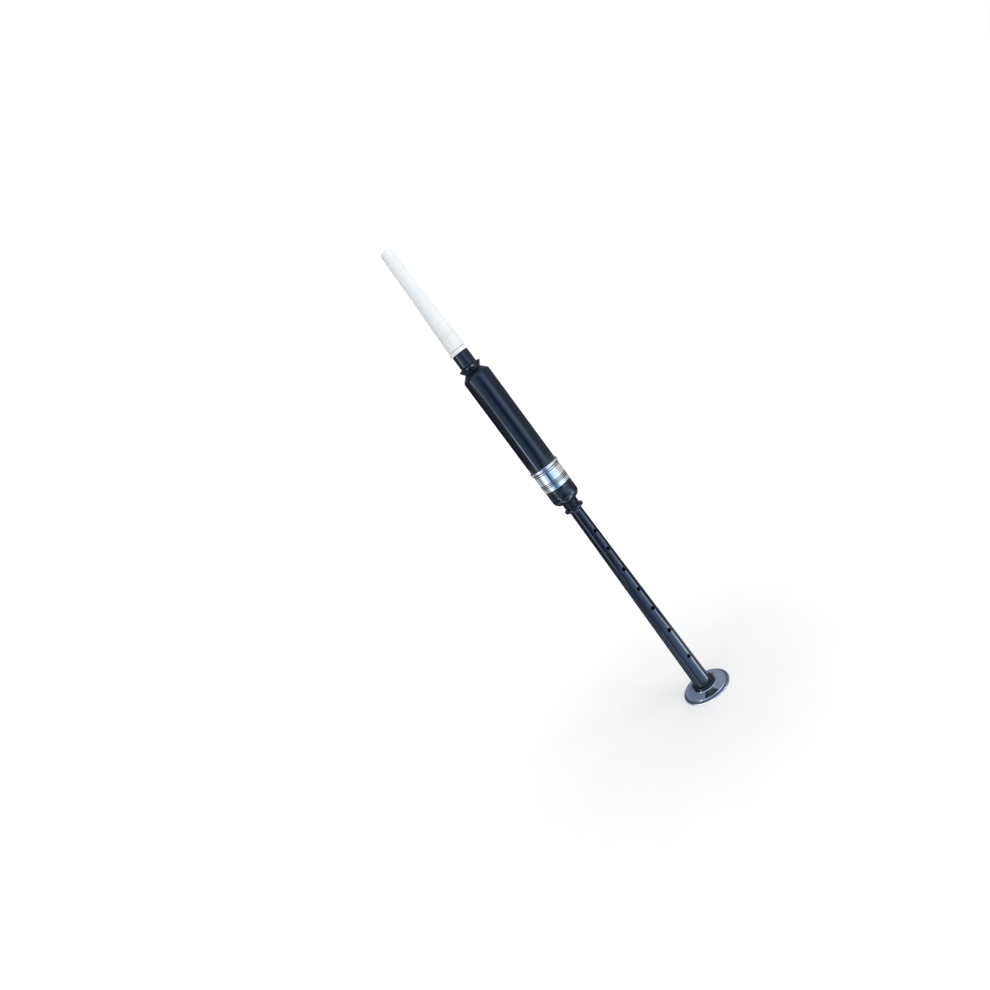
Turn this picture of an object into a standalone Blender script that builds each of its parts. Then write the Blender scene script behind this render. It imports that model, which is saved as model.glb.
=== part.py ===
"""Two-section practice chanter that stands on its sole: mouthpiece up, +Z along the bore.

The origin is the centre of the sole's resting face. The seven finger holes face -Y and the thumb hole faces +Y.
The instrument comes apart by pulling along +Z: the mouthpiece off the top section, the top section off the lower
section's tenon, and the reed out of its seat. Heights are measured up from the resting face.
"""

import math

import bmesh
import bpy

MM = 0.001

# ---- Driving dimensions -------------------------------------------------------------------------------------------

TOTAL_LENGTH = 533 * MM
GAP = 0.3 * MM  # left between pieces that touch
TURNED_STEPS = 36  # facets round a large turned piece
SMALL_STEPS = 24  # facets round a small one
MERGE = 0.001 * MM

# Sole
SOLE_RADIUS = 25.5 * MM
SOLE_RIM_TOP = 3.3 * MM
SOLE_FLARE_RADIUS = 22.6 * MM  # where the flare meets the rim
SOLE_FLARE_HOLLOW = (17.5 * MM, 4.1 * MM)  # (radius, height) half way out, where its line sags
SOLE_SEAT_HEIGHT = 5.6 * MM
SOLE_SEAT_RADIUS = 12.7 * MM
SOLE_SEAT_LIP = 0.5 * MM
SOLE_EDGE_ROUND = 0.7 * MM
FOOT_SPIGOT_RADIUS = 6.5 * MM
FOOT_SPIGOT_BOTTOM = 1.0 * MM

# Lower section
BORE_RADIUS = 2.5 * MM
FOOT_COLLAR_RADIUS = 12.4 * MM
FOOT_COLLAR_TOP = 8.0 * MM
FLARE_BOTTOM = 8.6 * MM
FLARE_TOP = 12 * MM
TUBE_BOTTOM_RADIUS = 9.1 * MM
TUBE_TOP = 231.5 * MM
TUBE_TOP_RADIUS = 6.4 * MM
TUBE_EASE = 1.15  # over 1 makes the taper slightly hollow
TUBE_RINGS = 5  # straight steps that make up the hollow taper
CUP_RING_BOTTOM = 234.0 * MM
CUP_RING_TOP = 237.2 * MM
CUP_RING_RADIUS = 10.0 * MM
CUP_NECK_RADIUS = 7.8 * MM
BULB_BOTTOM = 244.5 * MM
BULB_SHOULDER = 251.7 * MM
BULB_RADIUS = 14.2 * MM
BULB_TOP = 262.6 * MM
TENON_RADIUS = 9.0 * MM
TENON_TOP = 288 * MM
TENON_GROOVE = (266 * MM, 284 * MM)
TENON_GROOVE_RADIUS = 8.2 * MM
HEMP_RADIUS = 9.3 * MM
EDGE = 0.5 * MM  # chamfer on turned ends

# Finger and thumb holes, from the bottom hole up
FINGER_HOLES = [  # (height, radius)
    (43.7 * MM, 2.0 * MM),
    (78.1 * MM, 2.1 * MM),
    (106.9 * MM, 2.1 * MM),
    (131.7 * MM, 1.9 * MM),
    (157.1 * MM, 2.1 * MM),
    (183.5 * MM, 1.9 * MM),
    (205.6 * MM, 1.75 * MM),
]
THUMB_HOLE = (220 * MM, 1.75 * MM)
HOLE_SIDES = 16

# Top section
FERRULE_BOTTOM = 262.9 * MM
FERRULE_TOP = 287.1 * MM
FERRULE_RADIUS = 14.35 * MM
FERRULE_SEAT_RADIUS = 13.0 * MM
FERRULE_FLANGE_RADIUS = 15.45 * MM
FERRULE_FLANGE_BOTTOM = 283.8 * MM
FERRULE_BEADS = (268.7 * MM, 270.6 * MM, 282.4 * MM)  # centres
FERRULE_BEAD_RADIUS = 14.75 * MM
FERRULE_BEAD_HALF = 0.7 * MM
SOCKET_RADIUS = 9.6 * MM
SOCKET_TOP = 289 * MM
CHAMBER_RADIUS = 7.5 * MM
CHAMBER_TOP = 370 * MM
WINDWAY_RADIUS = 3.25 * MM
BARREL_RADIUS = 14.2 * MM
BARREL_TOP = 394.7 * MM
SHOULDER_TOP = 399.2 * MM
SHOULDER_RADIUS = 8.9 * MM
LIP_BOTTOM = 400.4 * MM
LIP_PEAK = 404.8 * MM
LIP_RADIUS = 11.7 * MM
NECK_BOTTOM = 406.2 * MM
NECK_RADIUS = 8.35 * MM
NECK_TOP = 419.7 * MM
UPPER_TENON_RADIUS = 5.5 * MM
UPPER_TENON_TOP = 443 * MM
UPPER_GROOVE = (425 * MM, 441 * MM)
UPPER_GROOVE_RADIUS = 4.8 * MM
UPPER_HEMP_RADIUS = 5.7 * MM

# Mouthpiece
MOUTH_BOTTOM = NECK_TOP + GAP
MOUTH_SOCKET_RADIUS = 6.0 * MM
MOUTH_SOCKET_TOP = 444 * MM
MOUTH_BORE_RADIUS = 3.1 * MM
MOUTH_SPIGOT_RADIUS = 7.6 * MM
MOUTH_RING_TOP = 423.9 * MM
MOUTH_RING_RADIUS = 9.5 * MM
MOUTH_RING_BULGE = 1.0 * MM
MOUTH_OUTLINE = [  # (height, radius) up the outside
    (424.2 * MM, 8.8 * MM),
    (444 * MM, 8.1 * MM),
    (467 * MM, 7.35 * MM),
    (480 * MM, 6.75 * MM),
    (498 * MM, 6.5 * MM),
    (516 * MM, 6.15 * MM),
]
MOUTH_TIP_RADIUS = 5.65 * MM
MOUTH_TIP_ROUND = 2.2 * MM

# Reed, with its heights from the reed's lower end
REED_BASE = 281.6 * MM
REED_LENGTH = 60 * MM
STAPLE_RADIUS = 1.6 * MM
STAPLE_TIP_RADIUS = 1.45 * MM
STAPLE_BORE_RADIUS = 1.1 * MM
STAPLE_TOP = 21 * MM
PLUG_BOTTOM = 1.2 * MM
PLUG_TOP = 8.4 * MM
PLUG_TIP_RADIUS = 2.2 * MM
PLUG_RADIUS = 3.9 * MM
PLUG_SHOULDER = 6.9 * MM
BINDING_BOTTOM = 8.8 * MM
BINDING_TOP = 39.4 * MM
BINDING_STEP = 0.4 * MM  # where the binding widens to take in the blades
THREAD_THICKNESS = 0.5 * MM
BRIDLE_HEIGHT = 25.7 * MM
BRIDLE_WIDTH = 1.4 * MM
BLADE_BOTTOM = 16 * MM
BLADE_NECK = 39.8 * MM  # the blades widen just above the binding
BLADE_SHOULDER = 41.2 * MM
BLADE_THICKNESS = 0.4 * MM
BLADE_HALF_GAP = 0.15 * MM
BLADE_WIDTHS = (1.75 * MM, 3.4 * MM, 4.5 * MM, 5.5 * MM)  # inner half-widths: bottom, neck, shoulder, lip
BLADE_CAMBERS = (1.6 * MM, 1.1 * MM, 1.05 * MM, 0.5 * MM)  # inner camber at the same places
BLADE_PLACES = (BLADE_BOTTOM, BLADE_NECK, BLADE_SHOULDER, REED_LENGTH)
BLADE_ROWS = (5, 1, 4)  # rows of faces between one place and the next
BLADE_COLUMNS = 10


# ---- Scene helpers ------------------------------------------------------------------------------------------------


def clear_scene():
    for obj in list(bpy.data.objects):
        bpy.data.objects.remove(obj, do_unlink=True)


def make_collection(name, hidden=False):
    collection = bpy.data.collections.new(name)
    bpy.context.scene.collection.children.link(collection)
    collection.hide_render = hidden
    return collection


def make_material(name, colour, roughness, metallic=0.0):
    material = bpy.data.materials.new(name)
    material.use_nodes = True
    shader = material.node_tree.nodes["Principled BSDF"]
    shader.inputs["Base Color"].default_value = (*colour, 1.0)
    shader.inputs["Roughness"].default_value = roughness
    shader.inputs["Metallic"].default_value = metallic
    return material


def make_empty(name, height, collection):
    """The origin of one moving body, on the bore's axis."""
    empty = bpy.data.objects.new(name, None)
    empty.empty_display_size = 10 * MM
    empty.location = (0, 0, height)
    collection.objects.link(empty)
    return empty


def add_object(name, mesh, body, material, collection):
    obj = bpy.data.objects.new(name, mesh)
    obj.parent = body
    mesh.materials.append(material)
    collection.objects.link(obj)
    return obj


# ---- Shape helpers ------------------------------------------------------------------------------------------------


def arc(centre, radii, start, end, count):
    """Points on an ellipse's arc, in (radius, height), from one angle in degrees to the other."""
    angles = [math.radians(start + (end - start) * i / count) for i in range(count + 1)]
    return [(centre[0] + radii[0] * math.cos(a), centre[1] + radii[1] * math.sin(a)) for a in angles]


def turned(name, outline, body, material, collection, steps=TURNED_STEPS):
    """A ring-shaped solid: its closed outline runs down the outside and back up the inside."""
    origin = body.location.z
    points = [(radius, 0, height - origin) for radius, height in outline]
    edges = [(i, (i + 1) % len(points)) for i in range(len(points))]
    mesh = bpy.data.meshes.new(name)
    mesh.from_pydata(points, edges, [])
    obj = add_object(name, mesh, body, material, collection)
    screw = obj.modifiers.new("turn", "SCREW")
    screw.axis = "Z"
    screw.angle = 2 * math.pi
    screw.steps = screw.render_steps = steps
    screw.use_merge_vertices = True
    screw.merge_threshold = MERGE
    screw.use_smooth_shade = True
    return obj


def oval_sleeve(name, rings, body, material, collection, steps=SMALL_STEPS):
    """A sleeve lofted through ovals (height, half_width, half_depth), down the outside and back up the inside."""
    shape = bmesh.new()
    loops = []
    for height, half_width, half_depth in rings:
        angles = [2 * math.pi * i / steps for i in range(steps)]
        loops.append([shape.verts.new((half_width * math.cos(a), half_depth * math.sin(a), height)) for a in angles])
    for upper, lower in zip(loops, loops[1:] + loops[:1]):
        for i in range(steps):
            j = (i + 1) % steps
            shape.faces.new((upper[i], lower[i], lower[j], upper[j]))
    bmesh.ops.recalc_face_normals(shape, faces=shape.faces)
    mesh = bpy.data.meshes.new(name)
    shape.to_mesh(mesh)
    shape.free()
    mesh.shade_smooth()
    return add_object(name, mesh, body, material, collection)


def cut_tone_hole(target, name, height, radius, side, cutters):
    """A round hole through one wall of the tube: side -1 is the front (-Y) and +1 the back."""
    reach = TUBE_BOTTOM_RADIUS + 2 * BORE_RADIUS
    shape = bmesh.new()
    bmesh.ops.create_cone(
        shape, cap_ends=True, segments=HOLE_SIDES, radius1=radius, radius2=radius, depth=reach
    )
    mesh = bpy.data.meshes.new(name)
    shape.to_mesh(mesh)
    shape.free()
    cutter = bpy.data.objects.new(name, mesh)
    cutter.location = (0, side * reach / 2, height)
    cutter.rotation_euler = (math.pi / 2, 0, 0)
    cutter.display_type = "WIRE"
    cutter.hide_render = True
    cutters.objects.link(cutter)
    boolean = target.modifiers.new(name, "BOOLEAN")
    boolean.operation = "DIFFERENCE"
    boolean.solver = "EXACT"
    boolean.object = cutter


# ---- Lower section and sole ---------------------------------------------------------------------------------------


def tube_radius(height):
    """The tapering tube's outside: narrow at the top, with a slightly hollow line."""
    down = (TUBE_TOP - height) / (TUBE_TOP - FLARE_TOP)
    return TUBE_TOP_RADIUS + (TUBE_BOTTOM_RADIUS - TUBE_TOP_RADIUS) * down**TUBE_EASE


def plug_radius(height):
    """The reed plug's cone, by its height above the reed's lower end."""
    part = (height - PLUG_BOTTOM) / (PLUG_SHOULDER - PLUG_BOTTOM)
    return PLUG_TIP_RADIUS + (PLUG_RADIUS - PLUG_TIP_RADIUS) * part


def groove(radius, floor_radius, span):
    """The four corners of a square groove in a turned outside, top first."""
    bottom, top = span
    return [(radius, top), (floor_radius, top), (floor_radius, bottom), (radius, bottom)]


def winding_outline(inner_radius, outer_radius, span):
    """Thread wound level in a groove, with rounded ends."""
    bottom, top = span[0] + GAP, span[1] - GAP
    return [
        (inner_radius, top),
        (outer_radius - EDGE / 2, top),
        (outer_radius, top - EDGE),
        (outer_radius, bottom + EDGE),
        (outer_radius - EDGE / 2, bottom),
        (inner_radius, bottom),
    ]


def lower_section(body, material, collection, cutters):
    tenon = [(TENON_RADIUS - EDGE, TENON_TOP), (TENON_RADIUS, TENON_TOP - EDGE)]
    tenon += groove(TENON_RADIUS, TENON_GROOVE_RADIUS, TENON_GROOVE)
    tenon += [(TENON_RADIUS, BULB_TOP)]
    bulb = [(BULB_RADIUS - EDGE / 2, BULB_TOP), (BULB_RADIUS, BULB_TOP - EDGE)]
    bulb += arc(
        (CUP_NECK_RADIUS, BULB_SHOULDER),
        (BULB_RADIUS - CUP_NECK_RADIUS, BULB_SHOULDER - BULB_BOTTOM), 0, -90, 6,
    )
    cup = [
        (CUP_NECK_RADIUS, CUP_RING_TOP + EDGE),
        (CUP_RING_RADIUS - EDGE, CUP_RING_TOP),
        (CUP_RING_RADIUS, CUP_RING_TOP - EDGE),
        (CUP_RING_RADIUS, CUP_RING_BOTTOM + EDGE),
        (CUP_RING_RADIUS - EDGE, CUP_RING_BOTTOM),
        (TUBE_TOP_RADIUS + EDGE, CUP_RING_BOTTOM),
    ]
    heights = [TUBE_TOP + (FLARE_TOP - TUBE_TOP) * i / TUBE_RINGS for i in range(TUBE_RINGS + 1)]
    tube = [(tube_radius(height), height) for height in heights]
    flare_radius = FOOT_COLLAR_RADIUS - 2 * EDGE
    foot = arc(
        (flare_radius, FLARE_TOP),
        (flare_radius - TUBE_BOTTOM_RADIUS, FLARE_TOP - FLARE_BOTTOM), 180, 270, 4,
    )[1:]
    foot += [
        (FOOT_COLLAR_RADIUS, FOOT_COLLAR_TOP),
        (FOOT_COLLAR_RADIUS, SOLE_SEAT_HEIGHT + GAP),
        (FOOT_SPIGOT_RADIUS, SOLE_SEAT_HEIGHT + GAP),
        (FOOT_SPIGOT_RADIUS, FOOT_SPIGOT_BOTTOM),
    ]
    seat_depth = TENON_TOP - REED_BASE
    inside = [
        (BORE_RADIUS, FOOT_SPIGOT_BOTTOM),
        (BORE_RADIUS, REED_BASE),
        (plug_radius(PLUG_BOTTOM) + GAP, REED_BASE),
        (plug_radius(PLUG_BOTTOM) + GAP, REED_BASE + PLUG_BOTTOM),
        (plug_radius(seat_depth) + GAP, TENON_TOP),
    ]
    obj = turned("lower_section", tenon + bulb + cup + tube + foot + inside, body, material, collection)
    for number, (height, radius) in enumerate(FINGER_HOLES, 1):
        cut_tone_hole(obj, f"finger_hole_{number}", height, radius, -1, cutters)
    cut_tone_hole(obj, "thumb_hole", *THUMB_HOLE, 1, cutters)


def tenon_hemp(body, material, collection):
    outline = winding_outline(TENON_GROOVE_RADIUS + GAP, HEMP_RADIUS, TENON_GROOVE)
    turned("tenon_hemp", outline, body, material, collection)


def sole(body, material, collection):
    """A disc that flares up from its rim to the foot's seat, with a round hole for the foot."""
    hole = FOOT_SPIGOT_RADIUS + GAP
    flare = [
        (hole, SOLE_SEAT_HEIGHT),
        (SOLE_SEAT_RADIUS, SOLE_SEAT_HEIGHT),
        (SOLE_SEAT_RADIUS + SOLE_SEAT_LIP, SOLE_SEAT_HEIGHT - SOLE_SEAT_LIP),
        SOLE_FLARE_HOLLOW,
        (SOLE_FLARE_RADIUS, SOLE_RIM_TOP),
    ]
    corner = SOLE_RADIUS - SOLE_EDGE_ROUND
    rim = arc((corner, SOLE_RIM_TOP - SOLE_EDGE_ROUND), (SOLE_EDGE_ROUND, SOLE_EDGE_ROUND), 90, 0, 3)
    rim += arc((corner, SOLE_EDGE_ROUND), (SOLE_EDGE_ROUND, SOLE_EDGE_ROUND), 0, -90, 3)
    turned("sole", flare + rim + [(hole, 0)], body, material, collection)


# ---- Reed ---------------------------------------------------------------------------------------------------------


def between(value, places, results):
    """Linear interpolation through a short list of places."""
    for (low, high), (first, last) in zip(zip(places, places[1:]), zip(results, results[1:])):
        if value <= high:
            return first + (last - first) * (value - low) / (high - low)
    return results[-1]


def blade_size(height):
    """Inner half-width and camber of a blade at a height above the reed's lower end."""
    return between(height, BLADE_PLACES, BLADE_WIDTHS), between(height, BLADE_PLACES, BLADE_CAMBERS)


def blade_heights():
    heights = [BLADE_BOTTOM]
    for low, high, rows in zip(BLADE_PLACES, BLADE_PLACES[1:], BLADE_ROWS):
        heights += [low + (high - low) * row / rows for row in range(1, rows + 1)]
    return heights


def blade_mesh():
    """One cambered blade on the -Y side of the reed, as an open sheet facing outwards."""
    heights = blade_heights()
    shape = bmesh.new()
    bmesh.ops.create_grid(shape, x_segments=BLADE_COLUMNS, y_segments=len(heights) - 1, size=1)
    for vert in shape.verts:
        height = heights[round((len(heights) - 1) * (vert.co.y + 1) / 2)]
        angle = math.pi * (1 - vert.co.x) / 2
        half_width, camber = blade_size(height)
        vert.co = (half_width * math.cos(angle), -BLADE_HALF_GAP - camber * math.sin(angle), height)
    shape.normal_update()
    mesh = bpy.data.meshes.new("reed_blade")
    shape.to_mesh(mesh)
    shape.free()
    mesh.shade_smooth()
    return mesh


def reed_blades(body, material, collection):
    sheet = blade_mesh()
    sheet.materials.append(material)
    for name, turn in (("reed_blade_front", 0), ("reed_blade_back", math.pi)):
        obj = bpy.data.objects.new(name, sheet)
        obj.parent = body
        obj.rotation_euler = (0, 0, turn)
        collection.objects.link(obj)
        solidify = obj.modifiers.new("thickness", "SOLIDIFY")
        solidify.thickness = BLADE_THICKNESS
        solidify.offset = 1.0


def reed_staple(body, material, collection):
    base = body.location.z
    outline = [
        (STAPLE_BORE_RADIUS, base + STAPLE_TOP),
        (STAPLE_TIP_RADIUS, base + STAPLE_TOP),
        (STAPLE_RADIUS, base + BLADE_BOTTOM),
        (STAPLE_RADIUS, base + EDGE / 2),
        (STAPLE_RADIUS - EDGE / 2, base),
        (STAPLE_BORE_RADIUS, base),
    ]
    turned("reed_staple", outline, body, material, collection, SMALL_STEPS)


def reed_plug(body, material, collection):
    """The moulded plug that pushes into the reed seat: a cone under a rounded shoulder."""
    base = body.location.z
    hole = STAPLE_RADIUS + GAP / 2
    shoulder = PLUG_TOP - PLUG_SHOULDER
    outline = [(hole, base + PLUG_TOP)]
    outline += arc((PLUG_RADIUS - shoulder, base + PLUG_SHOULDER), (shoulder, shoulder), 90, 0, 4)
    outline += [
        (PLUG_TIP_RADIUS, base + PLUG_BOTTOM),
        (hole, base + PLUG_BOTTOM),
    ]
    turned("reed_plug", outline, body, material, collection, SMALL_STEPS)


def sleeve_size(height):
    """Inner half-width and half-depth of the thread binding at a height."""
    if height < BLADE_BOTTOM:
        return STAPLE_RADIUS + GAP, STAPLE_RADIUS + GAP
    half_width, camber = blade_size(height)
    room = BLADE_THICKNESS + GAP
    return half_width + room, BLADE_HALF_GAP + camber + room


def reed_binding(body, material, collection):
    """Thread wound over the staple and then, one step wider, over the roots of both blades."""
    inside = [
        (BINDING_BOTTOM, *sleeve_size(BINDING_BOTTOM)),
        (BLADE_BOTTOM - 2 * BINDING_STEP, *sleeve_size(BINDING_BOTTOM)),
        (BLADE_BOTTOM - BINDING_STEP, *sleeve_size(BLADE_BOTTOM)),
        (BINDING_TOP, *sleeve_size(BINDING_TOP)),
    ]
    outside = [(height, w + THREAD_THICKNESS, d + THREAD_THICKNESS) for height, w, d in inside]
    oval_sleeve("reed_binding", outside[::-1] + inside, body, material, collection)


def reed_bridle(body, material, collection):
    half_width, half_depth = sleeve_size(BRIDLE_HEIGHT + BRIDLE_WIDTH)
    inner = (half_width + THREAD_THICKNESS + GAP, half_depth + THREAD_THICKNESS + GAP)
    low, high = BRIDLE_HEIGHT - BRIDLE_WIDTH / 2, BRIDLE_HEIGHT + BRIDLE_WIDTH / 2
    wire = BRIDLE_WIDTH / 2
    rings = [
        (high, inner[0], inner[1]),
        (high - wire / 2, inner[0] + wire, inner[1] + wire),
        (low + wire / 2, inner[0] + wire, inner[1] + wire),
        (low, inner[0], inner[1]),
    ]
    oval_sleeve("reed_bridle", rings, body, material, collection)


# ---- Top section --------------------------------------------------------------------------------------------------


def top_section(body, material, collection):
    tenon = [
        (UPPER_TENON_RADIUS - EDGE, UPPER_TENON_TOP),
        (UPPER_TENON_RADIUS, UPPER_TENON_TOP - EDGE),
    ]
    tenon += groove(UPPER_TENON_RADIUS, UPPER_GROOVE_RADIUS, UPPER_GROOVE)
    tenon += [(UPPER_TENON_RADIUS, NECK_TOP)]
    neck = [
        (NECK_RADIUS, NECK_TOP),
        (NECK_RADIUS, NECK_BOTTOM + 2 * EDGE),
        (NECK_RADIUS + EDGE, NECK_BOTTOM),
    ]
    lip = [
        (LIP_RADIUS - EDGE, LIP_PEAK + EDGE / 2),
        (LIP_RADIUS, LIP_PEAK - EDGE / 2),
        (SHOULDER_RADIUS, LIP_BOTTOM),
        (SHOULDER_RADIUS, SHOULDER_TOP),
    ]
    barrel = [
        (BARREL_RADIUS - EDGE, BARREL_TOP + EDGE / 2),
        (BARREL_RADIUS, BARREL_TOP - EDGE),
        (BARREL_RADIUS, FERRULE_TOP + GAP),
        (FERRULE_SEAT_RADIUS, FERRULE_TOP + GAP),
        (FERRULE_SEAT_RADIUS, FERRULE_BOTTOM),
    ]
    chamber_cone = CHAMBER_RADIUS - WINDWAY_RADIUS
    inside = [
        (SOCKET_RADIUS + EDGE, FERRULE_BOTTOM),
        (SOCKET_RADIUS, FERRULE_BOTTOM + EDGE),
        (SOCKET_RADIUS, SOCKET_TOP),
        (CHAMBER_RADIUS, SOCKET_TOP),
        (CHAMBER_RADIUS, CHAMBER_TOP),
        (WINDWAY_RADIUS, CHAMBER_TOP + chamber_cone),
        (WINDWAY_RADIUS, UPPER_TENON_TOP),
    ]
    turned("top_section", tenon + neck + lip + barrel + inside, body, material, collection)


def ferrule(body, material, collection):
    """The plated metal sleeve on the barrel's lower end: a flange and a bead, a plain band, two beads and a band."""
    inner = FERRULE_SEAT_RADIUS + GAP
    outline = [
        (inner, FERRULE_TOP),
        (FERRULE_FLANGE_RADIUS - EDGE, FERRULE_TOP),
        (FERRULE_FLANGE_RADIUS, FERRULE_TOP - EDGE),
        (FERRULE_FLANGE_RADIUS, FERRULE_FLANGE_BOTTOM + EDGE),
        (FERRULE_FLANGE_RADIUS - EDGE, FERRULE_FLANGE_BOTTOM),
        (FERRULE_RADIUS, FERRULE_FLANGE_BOTTOM),
    ]
    for centre in reversed(FERRULE_BEADS):
        outline += [
            (FERRULE_RADIUS, centre + FERRULE_BEAD_HALF),
            (FERRULE_BEAD_RADIUS, centre + FERRULE_BEAD_HALF / 2),
            (FERRULE_BEAD_RADIUS, centre - FERRULE_BEAD_HALF / 2),
            (FERRULE_RADIUS, centre - FERRULE_BEAD_HALF),
        ]
    outline += [
        (FERRULE_RADIUS, FERRULE_BOTTOM + EDGE),
        (FERRULE_RADIUS - EDGE / 2, FERRULE_BOTTOM),
        (inner, FERRULE_BOTTOM),
    ]
    turned("ferrule", outline, body, material, collection)


def mouthpiece_hemp(body, material, collection):
    outline = winding_outline(UPPER_GROOVE_RADIUS + GAP, UPPER_HEMP_RADIUS, UPPER_GROOVE)
    turned("mouthpiece_hemp", outline, body, material, collection, SMALL_STEPS)


# ---- Mouthpiece ---------------------------------------------------------------------------------------------------


def mouthpiece(body, material, collection):
    tip = arc(
        (MOUTH_TIP_RADIUS - MOUTH_TIP_ROUND, TOTAL_LENGTH - MOUTH_TIP_ROUND),
        (MOUTH_TIP_ROUND, MOUTH_TIP_ROUND), 90, 0, 4,
    )
    outside = [(radius, height) for height, radius in reversed(MOUTH_OUTLINE)]
    spigot = [
        (MOUTH_SPIGOT_RADIUS, MOUTH_OUTLINE[0][0]),
        (MOUTH_SPIGOT_RADIUS, MOUTH_BOTTOM),
    ]
    inside = [
        (MOUTH_SOCKET_RADIUS, MOUTH_BOTTOM),
        (MOUTH_SOCKET_RADIUS, MOUTH_SOCKET_TOP),
        (MOUTH_BORE_RADIUS, MOUTH_SOCKET_TOP),
        (MOUTH_BORE_RADIUS, TOTAL_LENGTH),
    ]
    turned("mouthpiece", tip + outside + spigot + inside, body, material, collection)


def mouthpiece_ring(body, material, collection):
    inner = MOUTH_SPIGOT_RADIUS + GAP
    middle = (MOUTH_BOTTOM + MOUTH_RING_TOP) / 2
    half = (MOUTH_RING_TOP - MOUTH_BOTTOM) / 2
    centre = (MOUTH_RING_RADIUS - MOUTH_RING_BULGE, middle)
    outline = [(inner, MOUTH_RING_TOP)]
    outline += arc(centre, (MOUTH_RING_BULGE, half), 90, -90, 6)
    outline += [(inner, MOUTH_BOTTOM)]
    turned("mouthpiece_ring", outline, body, material, collection)


# ---- Assembly -----------------------------------------------------------------------------------------------------


def main():
    clear_scene()
    parts = make_collection("practice_chanter")
    cutters = make_collection("cutters", hidden=True)

    black = make_material("black_plastic", (0.012, 0.013, 0.018), 0.15)
    nickel = make_material("nickel", (0.72, 0.72, 0.74), 0.15, 1.0)
    white = make_material("white_plastic", (0.86, 0.88, 0.88), 0.25)
    hemp = make_material("waxed_hemp", (0.62, 0.5, 0.3), 0.8)
    red_thread = make_material("red_thread", (0.5, 0.02, 0.03), 0.6)
    bridle_thread = make_material("bridle_thread", (0.6, 0.08, 0.07), 0.5)
    yellow = make_material("yellow_plastic", (0.85, 0.55, 0.08), 0.35)
    brass = make_material("brass", (0.8, 0.62, 0.3), 0.25, 1.0)
    blade_plastic = make_material("blade_plastic", (0.8, 0.84, 0.86), 0.3)

    root = make_empty("lower_section_origin", 0, parts)
    reed = make_empty("reed_origin", REED_BASE, parts)
    top = make_empty("top_section_origin", FERRULE_BOTTOM, parts)
    mouth = make_empty("mouthpiece_origin", MOUTH_BOTTOM, parts)

    lower_section(root, black, parts, cutters)
    tenon_hemp(root, hemp, parts)
    sole(root, nickel, parts)

    reed_staple(reed, brass, parts)
    reed_plug(reed, yellow, parts)
    reed_blades(reed, blade_plastic, parts)
    reed_binding(reed, red_thread, parts)
    reed_bridle(reed, bridle_thread, parts)

    top_section(top, black, parts)
    ferrule(top, nickel, parts)
    mouthpiece_hemp(top, hemp, parts)

    mouthpiece(mouth, white, parts)
    mouthpiece_ring(mouth, white, parts)


main()
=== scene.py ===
"""Looks for the two-section practice chanter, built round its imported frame.

Every piece but the reed's two blades is turned or wound about the bore, which is the Z axis, and each
piece rides on its CAD body. Shape sizes are in millimetres, as radii and heights above the sole's resting
face, and MM turns them into metres.
"""

import math

import bpy
import numpy as np
from mathutils import Matrix, Vector


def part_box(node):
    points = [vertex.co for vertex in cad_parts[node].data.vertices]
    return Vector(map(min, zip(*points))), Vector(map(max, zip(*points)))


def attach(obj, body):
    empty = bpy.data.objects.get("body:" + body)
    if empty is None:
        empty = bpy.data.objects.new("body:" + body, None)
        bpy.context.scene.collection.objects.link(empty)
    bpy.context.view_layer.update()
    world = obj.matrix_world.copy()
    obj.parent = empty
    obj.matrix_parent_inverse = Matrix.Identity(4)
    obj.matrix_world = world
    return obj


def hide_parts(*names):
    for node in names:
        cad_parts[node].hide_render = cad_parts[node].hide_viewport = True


MM = 0.001
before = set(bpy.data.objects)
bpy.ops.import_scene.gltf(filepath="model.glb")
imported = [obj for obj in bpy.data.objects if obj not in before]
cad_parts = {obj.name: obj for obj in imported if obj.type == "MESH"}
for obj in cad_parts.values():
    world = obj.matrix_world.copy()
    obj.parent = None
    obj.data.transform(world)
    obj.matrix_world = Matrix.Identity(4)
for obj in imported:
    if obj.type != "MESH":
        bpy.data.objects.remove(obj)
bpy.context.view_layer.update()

COLUMNS = 144  # facets round a large turned piece
SMALL_COLUMNS = 72
COLUMN_ANGLE = 2 * math.pi / COLUMNS
ROUND_STEPS = 5  # faces across a rounded corner
STRAIGHT = 1e-4  # radians: a smaller turn than this isn't rounded
ROUND_SHARE = 0.45  # the most of a side that one rounded corner may take up


def low(node):
    """The node's lowest point, in millimetres."""
    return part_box(node)[0].z / MM


def high(node):
    """The node's highest point, in millimetres."""
    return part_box(node)[1].z / MM


def radius(node):
    """The node's outside radius, in millimetres."""
    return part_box(node)[1].x / MM


# ---- Turned shapes -------------------------------------------------------------------------------


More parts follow.
